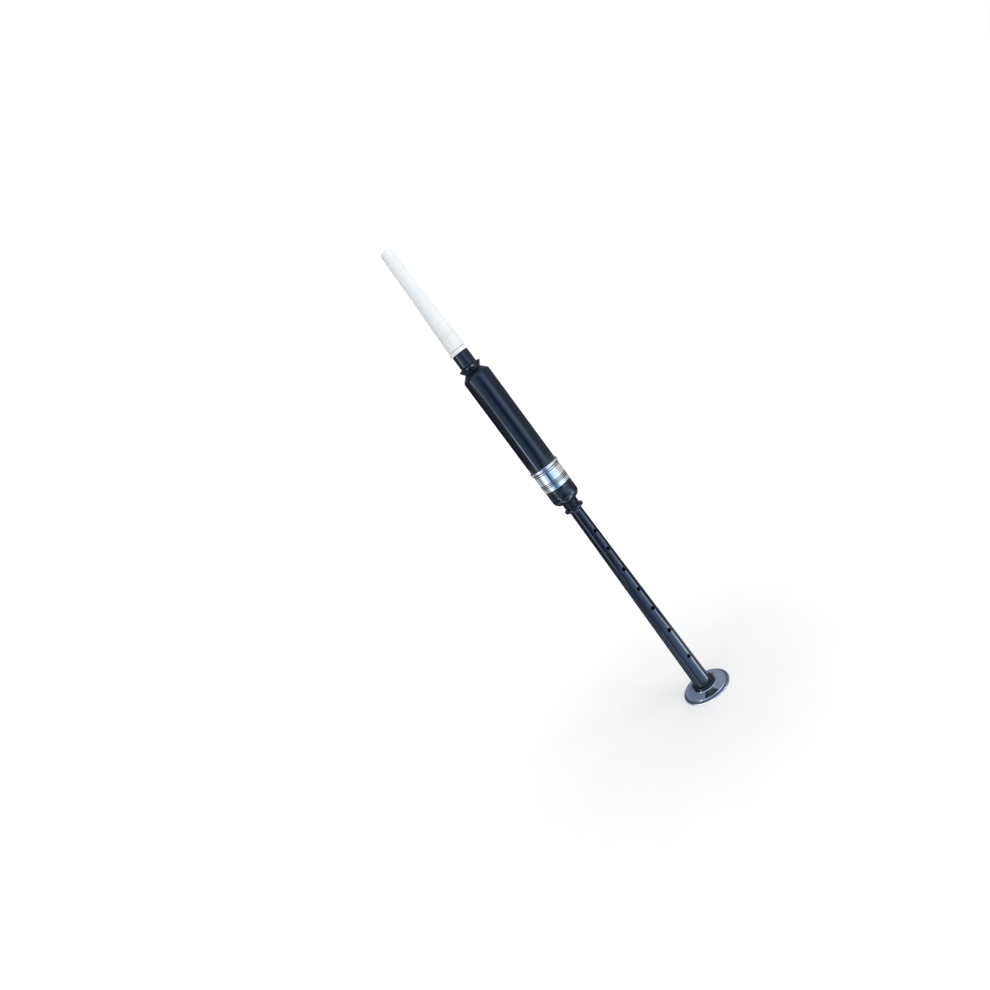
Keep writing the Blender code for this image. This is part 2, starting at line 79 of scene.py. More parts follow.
def outline(corners):
    """Points (r, z, normal_r, normal_z) along a closed line of corners (r, z, rounding).

    The corners run down the outside and up the inside. rounding is the corner's radius, or None where the
    line runs smoothly through the point.
    """
    points = []
    for i, (r, z, rounding) in enumerate(corners):
        here = np.array((r, z), float)
        before = here - np.array(corners[i - 1][:2], float)
        after = np.array(corners[(i + 1) % len(corners)][:2], float) - here
        length_in, length_out = np.linalg.norm(before), np.linalg.norm(after)
        before, after = before / length_in, after / length_out
        normal_in = np.array((-before[1], before[0]))
        turn = math.atan2(before[0] * after[1] - before[1] * after[0], float(before @ after))
        if rounding is None or abs(turn) < STRAIGHT:
            points.append((r, z, *rotated(normal_in, turn / 2)))
            continue
        half_tan = math.tan(abs(turn) / 2)
        reach = min(rounding * half_tan, ROUND_SHARE * length_in, ROUND_SHARE * length_out)
        arc_radius = reach / half_tan
        bend = 1 if turn < 0 else -1  # 1 at an outer corner, -1 in an inner one
        centre = here - before * reach - normal_in * arc_radius * bend
        for step in range(ROUND_STEPS + 1):
            normal = rotated(normal_in, turn * step / ROUND_STEPS)
            points.append((*(centre + normal * arc_radius * bend), *normal))
    return points


def rotated(vector, angle):
    c, s = math.cos(angle), math.sin(angle)
    return np.array((c * vector[0] - s * vector[1], s * vector[0] + c * vector[1]))


def arc(centre_r, centre_z, size_r, size_z, start, end, count):
    """Smooth points on an ellipse, from one angle in degrees to the other."""
    angles = [math.radians(start + (end - start) * i / count) for i in range(count + 1)]
    return [(centre_r + size_r * math.cos(a), centre_z + size_z * math.sin(a), None) for a in angles]


def bead(radius_low, radius_high, top, bottom, count=8):
    """A half-round ring on a turned outside, top first."""
    middle, half = (top + bottom) / 2, (top - bottom) / 2
    return arc(radius_low, middle, radius_high - radius_low, half, 80, -80, count)


def vee(r, height, depth, half_width):
    """A fine turned line."""
    return [(r, height + half_width, 0.05), (r - depth, height, 0.08), (r, height - half_width, 0.05)]


def mesh_object(name, points, faces, normals=None):
    """An object from points in millimetres, smooth, with its own normals where they are given."""
    mesh = bpy.data.meshes.new(name)
    mesh.from_pydata([tuple(p) for p in np.asarray(points) * MM], [], faces)
    mesh.update()
    mesh.shade_smooth()
    if normals is not None:
        mesh.normals_split_custom_set_from_vertices([tuple(n) for n in normals])
    obj = bpy.data.objects.new(name, mesh)
    bpy.context.scene.collection.objects.link(obj)
    return obj


def lathe_grid(path, columns):
    """Vertices and normals of the turned path, with one row of vertices for each point of it."""
    angles = np.arange(columns) * 2 * math.pi / columns
    path = np.array(path)
    circle = np.stack([np.cos(angles), np.sin(angles)], 1)
    points = np.concatenate([np.column_stack([circle * r, np.full(columns, z)]) for r, z, _, _ in path])
    normals = np.concatenate([np.column_stack([circle * r, np.full(columns, z)]) for _, _, r, z in path])
    return points, normals


def lathe_faces(rows, columns, skipped=frozenset()):
    """The faces of a closed lathe grid, without the (row, column) ones in skipped."""
    faces = []
    for i in range(rows):
        for j in range(columns):
            if (i, j) in skipped:
                continue
            k = (j + 1) % columns
            here, following = i * columns, (i + 1) % rows * columns
            faces.append((here + j, following + j, following + k, here + k))
    return faces


def turned(name, corners, columns=COLUMNS):
    path = outline(corners)
    points, normals = lathe_grid(path, columns)
    return mesh_object(name, points, lathe_faces(len(path), columns), normals)


# ---- Wound thread --------------------------------------------------------------------------------


THREAD_SIDES = 8
STEPS_PER_TURN = 56
PITCH = 1.88  # rise of one turn, in radii of the thread, so that the turns press together
WOBBLE = 0.05  # how unevenly it lies, in radii of the thread


def winding(name, top, bottom, half_size, thread):
    """A thread wound level from top to bottom, with thread as its radius.

    half_size(z) gives the half-width and half-depth of its centre line.
    """
    turns = (top - bottom - 2 * thread) / (PITCH * thread)
    count = int(turns * STEPS_PER_TURN)
    angles = np.linspace(0, 2 * math.pi * turns, count)
    heights = np.linspace(top - thread, bottom + thread, count)
    wobble = WOBBLE * thread * (np.sin(angles * 3.7) + np.sin(angles * 1.31 + 1))
    halves = np.array([half_size(z) for z in heights])
    x, y = np.cos(angles), np.sin(angles)
    across = np.column_stack([x * halves[:, 1], y * halves[:, 0]])
    across /= np.linalg.norm(across, axis=1)[:, None]
    centres = np.column_stack([x * halves[:, 0], y * halves[:, 1], heights + wobble])
    points, normals = [], []
    for side in range(THREAD_SIDES):
        a = 2 * math.pi * side / THREAD_SIDES
        normal = np.column_stack([across * math.cos(a), np.full(count, math.sin(a))])
        normals.append(normal)
        points.append(centres + normal * thread)
    points = np.stack(points, 1).reshape(-1, 3)
    normals = np.stack(normals, 1).reshape(-1, 3)
    faces = []
    for here in range(0, (count - 1) * THREAD_SIDES, THREAD_SIDES):
        following = here + THREAD_SIDES
        for side in range(THREAD_SIDES):
            k = (side + 1) % THREAD_SIDES
            faces.append((here + side, following + side, following + k, here + k))
    faces.append(tuple(range(THREAD_SIDES)))
    faces.append(tuple((count - 1) * THREAD_SIDES + side for side in reversed(range(THREAD_SIDES))))
    return mesh_object(name, points, faces, normals)


# ---- Lower section -------------------------------------------------------------------------------

TUBE_TOP, TUBE_BOTTOM = 231.5, 12.0
TUBE_TOP_RADIUS, TUBE_BOTTOM_RADIUS, TUBE_EASE = 6.4, 9.1, 1.15
BORE_RADIUS = 2.5
HOLE_ROUND = 0.35  # radius of the rounded mouth of a finger hole
ROW_STEP = 6  # the tallest a row of faces of the tube may be
FINGER_HOLES = (  # (height, radius)
    (43.7, 2.0), (78.1, 2.1), (106.9, 2.1), (131.7, 1.9), (157.1, 2.1), (183.5, 1.9), (205.6, 1.75),
)
THUMB_HOLE = (220.0, 1.75)
FRONT, BACK = 3 * COLUMNS // 4, COLUMNS // 4  # the columns of -Y and +Y
WINDOW_ROWS, WINDOW_HALF = 8, 4.0
WINDOW_COLUMNS = 52  # an even number, wide enough to clear the hole on the bore as well as on the outside


def tube_radius(z):
    down = (TUBE_TOP - z) / (TUBE_TOP - TUBE_BOTTOM)
    return TUBE_TOP_RADIUS + (TUBE_BOTTOM_RADIUS - TUBE_TOP_RADIUS) * max(down, 0) ** TUBE_EASE


def tube_rows():
    """Heights of the tube's rows, top first: every window round a hole has its own even rows."""
    rows = {TUBE_TOP - 1, TUBE_BOTTOM + 1}
    drops = [2 * WINDOW_HALF * i / WINDOW_ROWS for i in range(WINDOW_ROWS + 1)]
    for hole, _ in (*FINGER_HOLES, THUMB_HOLE):
        rows |= {round(hole + WINDOW_HALF - drop, 4) for drop in drops}
    ordered = sorted(rows, reverse=True)
    filled = [ordered[0]]
    for z in ordered[1:]:
        parts = max(1, math.ceil((filled[-1] - z) / ROW_STEP))
        start = filled[-1]
        filled += [start + (z - start) * i / parts for i in range(1, parts)] + [z]
    return filled


def window_edge():
    """(row, column) steps once round a window, from its top left."""
    top = [(0, c) for c in range(WINDOW_COLUMNS)]
    right = [(r, WINDOW_COLUMNS) for r in range(WINDOW_ROWS)]
    bottom = [(WINDOW_ROWS, c) for c in range(WINDOW_COLUMNS, 0, -1)]
    left = [(r, 0) for r in range(WINDOW_ROWS, 0, -1)]
    return top + right + bottom + left


def tone_hole(points, normals, faces, outer_row, inner_row, column, height, hole_radius):
    """Joins a window in the outside to the one in the bore by a round hole with a rounded mouth."""
    angle = column * COLUMN_ANGLE
    out = np.array((math.cos(angle), math.sin(angle), 0))
    along = np.array((-math.sin(angle), math.cos(angle), 0))
    up = np.array((0, 0, 1.0))
    edge = window_edge()
    first = column - WINDOW_COLUMNS // 2
    outer = [(outer_row + r) * COLUMNS + (first + c) % COLUMNS for r, c in edge]
    inner = [(inner_row + WINDOW_ROWS - r) * COLUMNS + (first + c) % COLUMNS for r, c in edge]

    def flat(indexes):
        """Sideways and upward distances of window points from the hole's axis."""
        place = np.array([points[i] for i in indexes])
        return place @ along, place[:, 2] - height

    def on_surface(x, z, radius_at):
        surface = np.array([radius_at(height + step) for step in z])
        return np.sqrt(surface**2 - x**2)

    def add_ring(x, z, y, normal):
        start = len(points)
        for k in range(len(edge)):
            points.append(along * x[k] + up * (z[k] + height) + out * y[k])
            normals.append(normal[k] / np.linalg.norm(normal[k]))
        return list(range(start, start + len(edge)))

    rings = [outer]
    x0, z0 = flat(outer)
    bearing = np.arctan2(z0, x0)
    aim_x, aim_z = np.cos(bearing), np.sin(bearing)
    inward = -(aim_x[:, None] * along + aim_z[:, None] * up)
    mouth = hole_radius + HOLE_ROUND
    for share in (0.3, 0.6, 0.85, 1.0):
        x = x0 + (aim_x * mouth - x0) * share
        z = z0 + (aim_z * mouth - z0) * share
        y = on_surface(x, z, tube_radius)
        rings.append(add_ring(x, z, y, x[:, None] * along + y[:, None] * out))
    lip_y = on_surface(aim_x * mouth, aim_z * mouth, tube_radius)
    lip_normal = (aim_x * mouth)[:, None] * along + lip_y[:, None] * out
    lip_normal /= np.linalg.norm(lip_normal, axis=1)[:, None]
    for step in range(1, ROUND_STEPS + 1):
        a = math.pi / 2 * step / ROUND_STEPS
        reach = hole_radius + HOLE_ROUND * (1 - math.sin(a))
        y = lip_y - HOLE_ROUND * (1 - math.cos(a))
        normal = lip_normal * math.cos(a) + inward * math.sin(a)
        rings.append(add_ring(aim_x * reach, aim_z * reach, y, normal))
    x, z = aim_x * hole_radius, aim_z * hole_radius
    bore_y = on_surface(x, z, lambda _: BORE_RADIUS)
    rings.append(add_ring(x, z, bore_y, inward))
    x1, z1 = flat(inner)
    for share in (0.02, 0.5):
        xi, zi = x + (x1 - x) * share, z + (z1 - z) * share
        y = on_surface(xi, zi, lambda _: BORE_RADIUS)
        rings.append(add_ring(xi, zi, y, -(xi[:, None] * along + y[:, None] * out)))
    rings.append(inner)
    for wide, narrow in zip(rings, rings[1:]):
        for k in range(len(edge)):
            following = (k + 1) % len(edge)
            faces.append((wide[k], narrow[k], narrow[following], wide[following]))


def lower_section():
    tenon_top, foot, bulb = high("lower_section"), low("lower_section"), 14.2
    outside = [
        (8.2, tenon_top, 0.4), (9.0, tenon_top, 0.5),
        (9.0, 284.0, 0.2), (8.2, 284.0, 0.2), (8.2, 266.0, 0.2), (9.0, 266.0, 0.2), (9.0, 262.6, 0.15),
        (bulb, 262.6, 0.35),
        *vee(bulb, 258.6, 0.35, 0.5), *vee(bulb, 256.3, 0.35, 0.5),
        (bulb, 252.0, None),
        *arc(7.9, 251.7, bulb - 7.9, 7.2, -6, -84, 16),
        (7.9, 244.4, 0.4),
        *bead(7.0, 8.0, 243.8, 242.3), *bead(7.0, 8.0, 242.0, 240.5), *bead(7.0, 8.0, 240.2, 238.7),
        (7.0, 238.5, 0.3), (7.0, 237.4, 0.4),
        (9.6, 237.2, 0.5), (10.1, 236.6, 0.6), (10.1, 234.7, 0.6), (9.6, 234.1, 0.5), (8.0, 233.9, 0.5),
        *arc(8.0, TUBE_TOP - 0.2, 1.6, 2.3, 100, 170, 6),
    ]
    tube = [(tube_radius(z), z, None) for z in tube_rows()]
    collar_bottom = high("sole") + 0.3
    ending = [
        *arc(11.5, 12.0, 2.4, 3.4, 184, 262, 10),
        (11.7, 8.6, 0.3), (12.4, 8.1, 0.5), (12.4, collar_bottom, 0.3),
        (6.5, collar_bottom, 0.2), (6.5, foot, 0.4),
        (3.4, foot, 0.4), (BORE_RADIUS, foot + 1.6, 0.4),
    ]
    bore = [(BORE_RADIUS, z, None) for z in reversed(tube_rows())]
    seat = [
        (BORE_RADIUS, 281.0, 0.2), (BORE_RADIUS, 282.8, 0.1), (2.6, 282.8, 0.1), (4.3, tenon_top, 0.3),
    ]
    full = outline(outside + tube + ending + bore + seat)
    # Rounded corners make several points, so the rows of the tube and the bore are found by their place.
    heights = [round(z, 4) for z in tube_rows()]
    tube_start = next(i for i, p in enumerate(full) if abs(p[1] - heights[0]) < 1e-4 and p[0] > 5)
    bore_start = next(i for i, p in enumerate(full) if abs(p[1] - heights[-1]) < 1e-4 and p[0] < 3)
    points, normals = lathe_grid(full, COLUMNS)
    points, normals = list(points), list(normals)
    skipped = set()
    windows = []
    for (height, hole_radius), column in [(hole, FRONT) for hole in FINGER_HOLES] + [(THUMB_HOLE, BACK)]:
        top_row = heights.index(round(height + WINDOW_HALF, 4))
        outer_row = tube_start + top_row
        inner_row = bore_start + len(heights) - 1 - top_row - WINDOW_ROWS
        windows.append((outer_row, inner_row, column, height, hole_radius))
        for r in range(WINDOW_ROWS):
            for c in range(WINDOW_COLUMNS):
                j = (column - WINDOW_COLUMNS // 2 + c) % COLUMNS
                skipped |= {(outer_row + r, j), (inner_row + r, j)}
    faces = lathe_faces(len(full), COLUMNS, skipped)
    for window in windows:
        tone_hole(points, normals, faces, *window)
    return mesh_object("chanter_tube", np.array(points), faces, normals)


MILLED_TEETH = 112
MILLED_DEPTH = 0.2
MILLED_BAND = (23.4, 25.1)  # its inner and outer radius
MILLED_ABOVE = 1.0  # the height that parts the sole's upper face from its underside


def sole():
    """A spun disc: a low dome from the foot's seat to a fine raised line, a milled band and a plain rim."""
    top, r = high("sole"), radius("sole")
    corners = [
        (6.8, top, 0.1), (12.8, top, 0.1), (12.9, top - 0.2, 0.1), (13.3, top - 0.2, 0.15),
        (13.5, top - 0.6, 0.2), (15.0, 4.55, None), (16.6, 4.1, None), (18.6, 3.7, None), (20.6, 3.47, None),
        (22.3, 3.4, 0.1),
        *arc(22.75, 3.4, 0.4, 0.4, 140, 10, 6),
        (23.2, 3.15, 0.1), (23.5, 2.95, None), (25.0, 1.95, None), (25.2, 1.82, 0.2),
        (r, 1.55, 0.2), (r, 0.3, 0.3), (r - 0.3, 0.0, 0.2),
        (22.5, 0.0, 0.2), (22.2, 0.4, 0.2), (8.2, 0.4, 0.2), (7.9, 0.0, 0.2), (6.8, 0.0, 0.2),
    ]
    path = outline(corners)
    columns = 4 * MILLED_TEETH  # a valley, a flank, a crest and a flank in each tooth
    points, normals = lathe_grid(path, columns)
    reach, angle = np.hypot(points[:, 0], points[:, 1]), np.arctan2(points[:, 1], points[:, 0])
    milled = (reach > MILLED_BAND[0]) & (reach < MILLED_BAND[1]) & (points[:, 2] > MILLED_ABOVE)
    depth = np.where(milled, MILLED_DEPTH, 0)
    points[:, 2] += depth * np.cos(MILLED_TEETH * angle)
    slope = -depth * MILLED_TEETH / reach * np.sin(MILLED_TEETH * angle)
    normals[:, 0] += slope * normals[:, 2] * np.sin(angle)
    normals[:, 1] -= slope * normals[:, 2] * np.cos(angle)
    return mesh_object("sole_disc", points, lathe_faces(len(path), columns), normals)


def tenon_hemp():
    return winding("tenon_thread", high("tenon_hemp"), low("tenon_hemp"), lambda z: (8.95, 8.95), 0.33)


# ---- Top section ---------------------------------------------------------------------------------


def top_section():
    top, bottom = high("top_section"), low("top_section")
    ferrule_top = high("ferrule")
    neck_top = low("mouthpiece") - 0.3
    corners = [
        (5.5, top, 0.5), (5.5, 441.0, 0.2), (4.8, 441.0, 0.2), (4.8, 425.0, 0.2), (5.5, 425.0, 0.2),
        (5.5, neck_top, 0.15), (8.35, neck_top, 0.4), (8.35, 406.0, 0.6),
        (11.3, 405.1, 0.4), (11.75, 404.5, 0.2), (11.4, 404.0, 0.2),
        (8.9, 400.5, 0.3), (8.6, 400.3, 0.1), (8.6, 400.0, 0.15),
        (9.0, 399.4, 0.2), (13.6, 394.8, 1.2), (14.2, 393.4, 1.4),
        (14.2, ferrule_top + 0.05, 0.1), (13.0, ferrule_top + 0.05, 0.1), (13.0, bottom, 0.3),
        (10.1, bottom, 0.4), (9.6, bottom + 0.8, 0.3), (9.6, 289.0, 0.2),
        (7.5, 289.0, 0.3), (7.5, 370.0, 1.0), (3.25, 374.25, 1.0), (3.25, top, 0.4),
    ]
    return turned("barrel", corners)


FERRULE_GROOVES = (283.5, 281.35, 271.3, 269.6, 267.85)  # heights of the turned grooves, where the nickel is darkened with painted shade


def ferrule():
    """Spun nickel sleeve: flange, fine bead, plain band, two beads and a lower band."""
    top, bottom = high("ferrule"), low("ferrule")
    inner, band = 13.3, 14.35
    corners = [
        (inner, top, 0.1), (15.0, top, 0.35), (15.45, top - 0.5, 0.4), (15.45, 284.5, 0.4),
        (14.9, 283.9, 0.3), (13.75, 283.8, 0.1), (13.75, 283.2, 0.1),
        (14.2, 283.1, 0.1), (14.7, 282.9, 0.15), (14.7, 281.9, 0.15), (14.2, 281.7, 0.1),
        (13.8, 281.6, 0.1), (13.8, 281.1, 0.1), (band, 281.0, 0.15), (band, 271.6, 0.15), (13.8, 271.5, 0.1),
        (14.1, 271.1, 0.1), (14.7, 270.9, 0.15), (14.7, 270.1, 0.15), (14.1, 269.9, 0.1),
        (13.75, 269.8, 0.1), (13.75, 269.4, 0.1),
        (14.1, 269.3, 0.1), (14.7, 269.1, 0.15), (14.7, 268.4, 0.15), (14.1, 268.2, 0.1),
        (13.75, 268.1, 0.1), (13.75, 267.6, 0.1),
        (band, 267.4, 0.2), (band, bottom + 0.4, 0.3), (band - 0.4, bottom, 0.3), (inner, bottom, 0.1),
    ]
    return turned("ferrule_sleeve", corners)


def mouthpiece_hemp():
    return winding("upper_thread", high("mouthpiece_hemp"), low("mouthpiece_hemp"), lambda z: (5.3, 5.3), 0.3)


# ---- Mouthpiece ----------------------------------------------------------------------------------


def mouthpiece():
    top, bottom = high("mouthpiece"), low("mouthpiece")
    corners = [
        *arc(5.65 - 2.2, top - 2.2, 2.2, 2.2, 90, 6, 8),
        (6.15, 516.0, None), (6.4, 498.0, None), (6.65, 484.0, None), (6.95, 475.0, None), (7.4, 466.0, None),
        (7.85, 454.0, None), (8.25, 441.0, None), (8.6, 430.0, None), (8.8, 424.6, 0.4),
        (7.6, 424.3, 0.2), (7.6, bottom, 0.2),
        (6.0, bottom, 0.4), (6.0, 444.0, 0.3), (3.1, 444.5, 0.5), (3.1, top - 1.2, 0.5), (3.6, top, 0.5),
    ]
    return turned("mouthpiece_tube", corners)


def mouthpiece_ring():
    top, bottom = high("mouthpiece_ring"), low("mouthpiece_ring")
    corners = [
        (7.75, top, 0.1), (8.5, top, 0.1),
        *arc(8.5, (top + bottom) / 2, 1.0, (top - bottom) / 2 - 0.1, 80, -80, 12),
        (8.5, bottom, 0.1), (7.75, bottom, 0.1),
    ]
    return turned("mouthpiece_bead", corners)


# ---- Reed ----------------------------------------------------------------------------------------

REED_BASE = low("reed_staple")
BLADE_PLACES = (16.0, 39.8, 41.2, 60.0)  # heights above the reed's lower end
BLADE_WIDTHS = (1.75, 3.4, 4.5, 5.5)  # half of each, at those heights
BLADE_CAMBERS = (1.6, 1.1, 1.05, 0.45)
BLADE_THICKNESS = 0.4
BLADE_APART = 0.15  # from each blade's edge to the middle of the reed
BINDING_THREAD = 0.24  # radius of the red thread
BINDING_FOOT = 15.4  # below this height the red thread is wound on the bare staple
STAPLE_SIZE = 1.9
BRIDLE_THREAD, BRIDLE_HALF, BRIDLE_OUT = 0.3, 1.2, 0.45


def blade_size(height):
    """A blade's half-width and camber at a height above the reed's lower end."""
    return np.interp(height, BLADE_PLACES, BLADE_WIDTHS), np.interp(height, BLADE_PLACES, BLADE_CAMBERS)


def reed_blade(name, side):
    """One cambered plastic blade, wider and flatter towards its lip."""
    across = 24
    heights = [
        *np.linspace(16, 39.8, 12), *np.linspace(40.1, 41.2, 4), *np.linspace(42.5, 59.5, 14), 60.0,
    ]
    mesh_points, faces = [], []
    for height in heights:
        half_width, camber = blade_size(height)
        for i in range(across + 1):
            angle = math.pi * i / across
            x, y = half_width * math.cos(angle), -BLADE_APART - camber * math.sin(angle)
            mesh_points.append((-side * x, -side * y, REED_BASE + height))
    for row in range(len(heights) - 1):
        for i in range(across):
            a = row * (across + 1) + i
            faces.append((a, a + across + 1, a + across + 2, a + 1))
    obj = mesh_object(name, mesh_points, faces)
    solidify = obj.modifiers.new("thickness", "SOLIDIFY")
    solidify.thickness = BLADE_THICKNESS * MM
    solidify.offset = 1.0
    bevel = obj.modifiers.new("edges", "BEVEL")
    bevel.width = 0.1 * MM
    bevel.segments = 2
    bevel.limit_method = "ANGLE"
    bevel.angle_limit = math.radians(50)
    return obj


def binding_size(height):
    """Half-width and half-depth of the binding's centre line at a height above the reed's lower end."""
    if height < BINDING_FOOT:
        return STAPLE_SIZE + BINDING_THREAD, STAPLE_SIZE + BINDING_THREAD
    half_width, camber = blade_size(height)
    half_depth = BLADE_APART + camber
    return half_width + BLADE_THICKNESS + BINDING_THREAD, half_depth + BLADE_THICKNESS + BINDING_THREAD


def reed_binding():
    def half_size(z):
        return binding_size(z - REED_BASE)

    return winding("red_thread", high("reed_binding"), low("reed_binding"), half_size, BINDING_THREAD)


def reed_bridle():
    """A few thicker turns over the binding."""

    def half_size(z):
        width, depth = binding_size(z - REED_BASE)
        return width + BRIDLE_OUT, depth + BRIDLE_OUT

    middle = (high("reed_bridle") + low("reed_bridle")) / 2
    return winding("bridle_thread", middle + BRIDLE_HALF, middle - BRIDLE_HALF, half_size, BRIDLE_THREAD)


def reed_staple():
    base, top = REED_BASE, high("reed_staple")
    corners = [
        (1.1, top, 0.05), (1.45, top, 0.08), (1.6, base + 16, None), (1.6, base + 0.3, 0.1),
        (1.45, base, 0.1), (1.1, base, 0.1),
    ]
    return turned("staple_tube", corners, SMALL_COLUMNS)


def reed_plug():
    """Moulded plug: a cone with two shallow ribs under a rounded shoulder."""
    base = low("reed_plug")
    corners = [
        (1.65, base + 7.2, 0.2),
        *arc(2.5, base + 5.8, 1.4, 1.4, 88, 0, 8),
        (3.55, base + 4.6, 0.3), *bead(3.3, 3.55, base + 4.2, base + 3.4, 6),
        (3.0, base + 2.8, 0.3), *bead(2.8, 3.05, base + 2.5, base + 1.7, 6),
        (2.55, base + 1.2, 0.3), (2.2, base, 0.25), (1.65, base, 0.2),
    ]
    return turned("plug_cone", corners, SMALL_COLUMNS)


# ---- Materials -----------------------------------------------------------------------------------


LINES_ON_A_FACE = 1.37  # how much closer turning lines lie on a flat face than up a wall


def put(tree, socket, value):
    """Links value to the socket if it is a socket itself, and otherwise sets it there."""
    if isinstance(value, bpy.types.NodeSocket):
        tree.links.new(value, socket)
    else:
        socket.default_value = value


def add_node(tree, kind, inputs=None, **settings):
    node = tree.nodes.new(kind)
    for key, value in settings.items():
        setattr(node, key, value)
    for key, value in (inputs or {}).items():
        put(tree, node.inputs[key], value)
    return node


def mix_node(tree, kind, factor, first, second):
    """A mix of two colours, where kind is RGBA, or of two vectors, where it is VECTOR."""
    node = add_node(tree, "ShaderNodeMix", {"Factor": factor}, data_type=kind)
    for key, value in (("A", first), ("B", second)):
        if kind == "RGBA" and not isinstance(value, bpy.types.NodeSocket):
            value = (*value, 1)
        put(tree, next(s for s in node.inputs if s.name == key and s.type == kind), value)
    return next(s for s in node.outputs if s.type == kind)


class Finish:
    """A material with a Principled shader, and short ways to add nodes to it."""

    def __init__(self, name, colour, roughness, **sockets):
        self.material = bpy.data.materials.new(name)
        self.material.use_nodes = True
        self.tree = self.material.node_tree
        self.shader = self.tree.nodes["Principled BSDF"]
        self.shader.inputs["Base Color"].default_value = (*colour, 1)
        self.shader.inputs["Roughness"].default_value = roughness
        for socket, value in sockets.items():
            self.shader.inputs[socket.replace("_", " ")].default_value = value
        self.place = self.add("ShaderNodeTexCoord").outputs["Object"]

    def add(self, kind, inputs=None, **settings):
        return add_node(self.tree, kind, inputs, **settings)

    def math(self, operation, a, b=0.0):
        return self.add("ShaderNodeMath", {0: a, 1: b}, operation=operation).outputs[0]

    def axes(self):
        """Distance from the bore's axis, and height, both in millimetres."""
        split = self.add("ShaderNodeSeparateXYZ", {0: self.place})
        flat = self.add("ShaderNodeCombineXYZ", {0: split.outputs[0], 1: split.outputs[1]})
        reach = self.add("ShaderNodeVectorMath", {0: flat.outputs[0]}, operation="LENGTH").outputs["Value"]
        return self.math("MULTIPLY", reach, 1 / MM), self.math("MULTIPLY", split.outputs[2], 1 / MM)

    def noise(self, scale, detail, stretch=(1, 1, 1)):
        """Noise over the object, with scale in features per millimetre."""
        sizes = tuple(s / MM for s in stretch)
        mapping = self.add("ShaderNodeMapping", {"Vector": self.place, "Scale": sizes})
        inputs = {"Vector": mapping.outputs[0], "Scale": scale, "Detail": detail}
        return self.add("ShaderNodeTexNoise", inputs).outputs["Fac"]

    def turning_lines(self, per_mm):
        """Fine rings left by the lathe tool, the same all the way round."""
        reach, height = self.axes()
        along = self.math("ADD", self.math("MULTIPLY", reach, LINES_ON_A_FACE), height)
        inputs = {"W": along, "Scale": per_mm, "Detail": 3.0}
        return self.add("ShaderNodeTexNoise", inputs, noise_dimensions="1D").outputs["Fac"]

    def spread(self, value, low_in, high_in, low_out, high_out):
        """value, with the range from low_in to high_in spread over low_out to high_out and clamped there."""
        ends = {"From Min": low_in, "From Max": high_in, "To Min": low_out, "To Max": high_out}
        return self.add("ShaderNodeMapRange", {"Value": value, **ends}).outputs["Result"]

    def blend(self, factor, first, second):
        return mix_node(self.tree, "RGBA", factor, first, second)

    def near(self, value, centre, full, none):
        """1 within full of the centre, falling to 0 at none."""
        return self.spread(self.math("ABSOLUTE", self.math("SUBTRACT", value, centre)), full, none, 1, 0)

    def drive(self, socket, value):
        self.tree.links.new(value, self.shader.inputs[socket])

    def bump(self, height, depth_mm, strength=1.0, under=None):
        inputs = {"Height": height, "Distance": depth_mm * MM, "Strength": strength}
        if under is not None:
            inputs["Normal"] = under
        return self.add("ShaderNodeBump", inputs).outputs["Normal"]


def black_plastic():
    """Polished acetal: near black with a blue cast, soft handling haze and very fine turning lines."""
    f = Finish("black_plastic", (0.004, 0.005, 0.009), 0.08)
    haze = f.noise(0.03, 4, (1, 1, 0.35))
    lines = f.turning_lines(2.2)
    rough = f.math("ADD", f.spread(haze, 0.35, 0.7, 0.05, 0.1), f.spread(lines, 0.3, 0.7, -0.015, 0.02))
    f.drive("Roughness", rough)
    tone = f.spread(haze, 0.3, 0.75, 0, 1)
    f.drive("Base Color", f.blend(tone, (0.003, 0.004, 0.008), (0.005, 0.006, 0.010)))
    f.drive("Normal", f.bump(lines, 0.0012, 1.0, f.bump(f.noise(0.25, 3), 0.006, 0.5)))
    return f.material


def nickel(name, grooves=(), milled=None):
    """Polished nickel plate on a spun blank: fine rings, faint haze and a warm drift of tarnish.

    grooves are heights of turned grooves, where the nickel is darkened as painted shade. milled is the inner
    and outer radius of a milled band, whose valleys are darkened as painted shade.
    """
    f = Finish(name, (0.64, 0.61, 0.57), 0.11, Metallic=1.0)
    haze = f.noise(0.12, 5)
    lines = f.turning_lines(3.0)
    rough = f.math("ADD", f.spread(haze, 0.3, 0.75, 0.04, 0.11), f.spread(lines, 0.3, 0.7, -0.02, 0.03))
    f.drive("Roughness", rough)
    colour = f.blend(f.spread(haze, 0.35, 0.8, 0, 1), (0.635, 0.63, 0.615), (0.59, 0.565, 0.52))
    reach, height = f.axes()
    for groove in grooves:
        # painted shade: the nickel is darkened in each groove
        colour = f.blend(f.near(height, groove, 0.15, 0.3), colour, (0.06, 0.055, 0.06))
    if milled:
        split = f.add("ShaderNodeSeparateXYZ", {0: f.place})
        turn = f.math("ARCTAN2", split.outputs[1], split.outputs[0])
        teeth = f.math("COSINE", f.math("MULTIPLY", turn, MILLED_TEETH))
        inner, outer = milled
        past_inner, within_outer = f.math("GREATER_THAN", reach, inner), f.math("LESS_THAN", reach, outer)
        between = f.math("MULTIPLY", past_inner, within_outer)
        band = f.math("MULTIPLY", between, f.math("GREATER_THAN", height, MILLED_ABOVE))
        # painted shade: the valleys between the milled teeth are darkened
        valley_shade = f.math("MULTIPLY", band, f.spread(teeth, -0.1, 0.6, 1, 0))
        colour = f.blend(valley_shade, colour, (0.02, 0.02, 0.03))
    f.drive("Base Color", colour)
    f.drive("Normal", f.bump(lines, 0.002, 1.0))
    return f.material


WARM_RINGS = ((452.5, 0.3375), (441.3, 0.54), (439.6, 0.6075), (437.8, 0.675))  # (height, reach of the fade)


